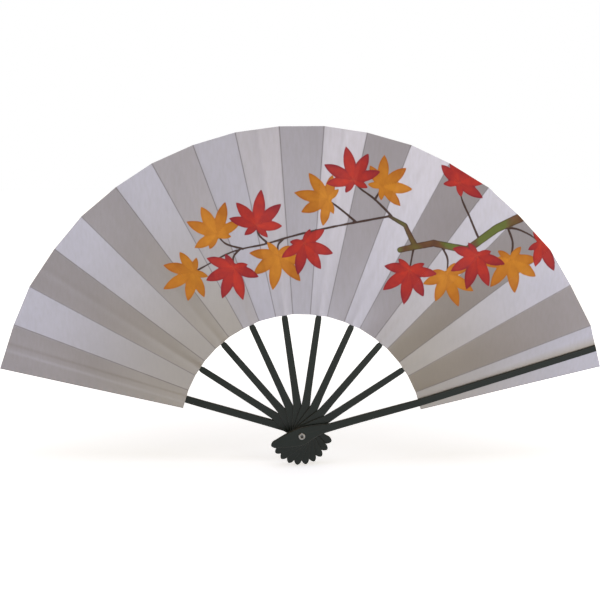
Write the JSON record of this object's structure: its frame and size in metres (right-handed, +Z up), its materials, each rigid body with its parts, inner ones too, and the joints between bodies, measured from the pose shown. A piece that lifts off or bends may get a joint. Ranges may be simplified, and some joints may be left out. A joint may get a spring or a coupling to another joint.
{
  "type": "folding dance fan",
  "caption": "Open folding dance fan: lacquered ribs turn on one eyelet and carry a pleated silver paper leaf painted with maple leaves.",
  "frame": {"origin": "middle of the eyelet that the ribs turn on, halfway through the stack of ribs", "axes": "+X across the open fan to the right seen from the painted side, +Y from the painted side to the back along the eyelet, +Z up along the middle of the open fan"},
  "size_m": [0.5172, 0.0222, 0.2913],
  "materials": {
    "lacquered_bamboo": "black lacquer, semi-gloss",
    "silver_paper": "laid paper with a dull silver ground and painted maple leaves",
    "kaname_metal": "plated eyelet",
    "weight_metal": "bare cast metal"
  },
  "bodies": {
    "back_guard": {"back_guard": "lacquered_bamboo", "back_guard_weight": "weight_metal", "kaname_eyelet": "kaname_metal", "kaname_washer": "kaname_metal", "leaf_panel_01": "silver_paper"},
    "rib_2": {"rib_2": "lacquered_bamboo", "leaf_panel_03": "silver_paper"},
    "rib_3": {"rib_3": "lacquered_bamboo", "leaf_panel_05": "silver_paper"},
    "rib_4": {"rib_4": "lacquered_bamboo", "leaf_panel_07": "silver_paper"},
    "rib_5": {"rib_5": "lacquered_bamboo", "leaf_panel_09": "silver_paper"},
    "rib_6": {"rib_6": "lacquered_bamboo", "leaf_panel_11": "silver_paper"},
    "rib_7": {"rib_7": "lacquered_bamboo", "leaf_panel_13": "silver_paper"},
    "rib_8": {"rib_8": "lacquered_bamboo", "leaf_panel_15": "silver_paper"},
    "rib_9": {"rib_9": "lacquered_bamboo", "leaf_panel_17": "silver_paper"},
    "front_guard": {"front_guard": "lacquered_bamboo", "front_guard_weight": "weight_metal", "leaf_panel_19": "silver_paper"},
    "pleat_02": {"leaf_panel_02": "silver_paper"},
    "pleat_04": {"leaf_panel_04": "silver_paper"},
    "pleat_06": {"leaf_panel_06": "silver_paper"},
    "pleat_08": {"leaf_panel_08": "silver_paper"},
    "pleat_10": {"leaf_panel_10": "silver_paper"},
    "pleat_12": {"leaf_panel_12": "silver_paper"},
    "pleat_14": {"leaf_panel_14": "silver_paper"},
    "pleat_16": {"leaf_panel_16": "silver_paper"},
    "pleat_18": {"leaf_panel_18": "silver_paper"}
  },
  "joints": [
    {"name": "close_rib_2", "type": "hinge", "parent": "back_guard", "child": "rib_2", "pos_m": [0, 0, 0], "axis": [0, -1, 0], "range_deg": [0, 16.2]},
    {"name": "close_rib_3", "type": "hinge", "parent": "rib_2", "child": "rib_3", "pos_m": [0, 0, 0], "axis": [0, -1, 0], "range_deg": [0, 16.2]},
    {"name": "close_rib_4", "type": "hinge", "parent": "rib_3", "child": "rib_4", "pos_m": [0, 0, 0], "axis": [0, -1, 0], "range_deg": [0, 16.2]},
    {"name": "close_rib_5", "type": "hinge", "parent": "rib_4", "child": "rib_5", "pos_m": [0, 0, 0], "axis": [0, -1, 0], "range_deg": [0, 16.2]},
    {"name": "close_rib_6", "type": "hinge", "parent": "rib_5", "child": "rib_6", "pos_m": [0, 0, 0], "axis": [0, -1, 0], "range_deg": [0, 16.2]},
    {"name": "close_rib_7", "type": "hinge", "parent": "rib_6", "child": "rib_7", "pos_m": [0, 0, 0], "axis": [0, -1, 0], "range_deg": [0, 16.2]},
    {"name": "close_rib_8", "type": "hinge", "parent": "rib_7", "child": "rib_8", "pos_m": [0, 0, 0], "axis": [0, -1, 0], "range_deg": [0, 16.2]},
    {"name": "close_rib_9", "type": "hinge", "parent": "rib_8", "child": "rib_9", "pos_m": [0, 0, 0], "axis": [0, -1, 0], "range_deg": [0, 16.2]},
    {"name": "close_front_guard", "type": "hinge", "parent": "rib_9", "child": "front_guard", "pos_m": [0, 0, 0], "axis": [0, -1, 0], "range_deg": [0, 16.2]},
    {"name": "fold_pleat_02", "type": "hinge", "parent": "back_guard", "child": "pleat_02", "pos_m": [-0.17254, 0.00953, 0.06675], "axis": [0.9325, -0.015, -0.3608], "range_deg": [0, 151.8], "deforming": ["leaf_panel_02"]},
    {"name": "fold_pleat_04", "type": "hinge", "parent": "rib_2", "child": "pleat_04", "pos_m": [-0.14707, 0.00803, 0.11224], "axis": [0.7949, -0.015, -0.6066], "range_deg": [0, 151.8], "deforming": ["leaf_panel_04"]},
    {"name": "fold_pleat_06", "type": "hinge", "parent": "rib_3", "child": "pleat_06", "pos_m": [-0.10991, 0.00653, 0.14881], "axis": [0.5941, -0.015, -0.8043], "range_deg": [0, 151.8], "deforming": ["leaf_panel_06"]},
    {"name": "fold_pleat_08", "type": "hinge", "parent": "rib_4", "child": "pleat_08", "pos_m": [-0.06403, 0.00503, 0.17356], "axis": [0.3461, -0.015, -0.9381], "range_deg": [0, 151.8], "deforming": ["leaf_panel_08"]},
    {"name": "fold_pleat_10", "type": "hinge", "parent": "rib_5", "child": "pleat_10", "pos_m": [-0.01307, 0.00353, 0.18454], "axis": [0.0706, -0.015, -0.9974], "range_deg": [0, 151.8], "deforming": ["leaf_panel_10"]},
    {"name": "fold_pleat_12", "type": "hinge", "parent": "rib_6", "child": "pleat_12", "pos_m": [0.03894, 0.00203, 0.18086], "axis": [-0.2104, -0.015, -0.9775], "range_deg": [0, 151.8], "deforming": ["leaf_panel_12"]},
    {"name": "fold_pleat_14", "type": "hinge", "parent": "rib_7", "child": "pleat_14", "pos_m": [0.08785, 0.00053, 0.16281], "axis": [-0.4748, -0.015, -0.88], "range_deg": [0, 151.8], "deforming": ["leaf_panel_14"]},
    {"name": "fold_pleat_16", "type": "hinge", "parent": "rib_8", "child": "pleat_16", "pos_m": [0.12978, -0.00097, 0.13184], "axis": [-0.7015, -0.015, -0.7126], "range_deg": [0, 151.8], "deforming": ["leaf_panel_16"]},
    {"name": "fold_pleat_18", "type": "hinge", "parent": "rib_9", "child": "pleat_18", "pos_m": [0.16141, -0.00247, 0.0904], "axis": [-0.8724, -0.015, -0.4886], "range_deg": [0, 151.8], "deforming": ["leaf_panel_18"]}
  ],
  "couplings": [
    {"joint": "close_rib_3", "follows": "close_rib_2", "ratio": 1},
    {"joint": "close_rib_4", "follows": "close_rib_2", "ratio": 1},
    {"joint": "close_rib_5", "follows": "close_rib_2", "ratio": 1},
    {"joint": "close_rib_6", "follows": "close_rib_2", "ratio": 1},
    {"joint": "close_rib_7", "follows": "close_rib_2", "ratio": 1},
    {"joint": "close_rib_8", "follows": "close_rib_2", "ratio": 1},
    {"joint": "close_rib_9", "follows": "close_rib_2", "ratio": 1},
    {"joint": "close_front_guard", "follows": "close_rib_2", "ratio": 1},
    {"joint": "fold_pleat_02", "follows": "close_rib_2", "ratio": 9.3704},
    {"joint": "fold_pleat_04", "follows": "close_rib_2", "ratio": 9.3704},
    {"joint": "fold_pleat_06", "follows": "close_rib_2", "ratio": 9.3704},
    {"joint": "fold_pleat_08", "follows": "close_rib_2", "ratio": 9.3704},
    {"joint": "fold_pleat_10", "follows": "close_rib_2", "ratio": 9.3704},
    {"joint": "fold_pleat_12", "follows": "close_rib_2", "ratio": 9.3704},
    {"joint": "fold_pleat_14", "follows": "close_rib_2", "ratio": 9.3704},
    {"joint": "fold_pleat_16", "follows": "close_rib_2", "ratio": 9.3704},
    {"joint": "fold_pleat_18", "follows": "close_rib_2", "ratio": 9.3704}
  ]
}
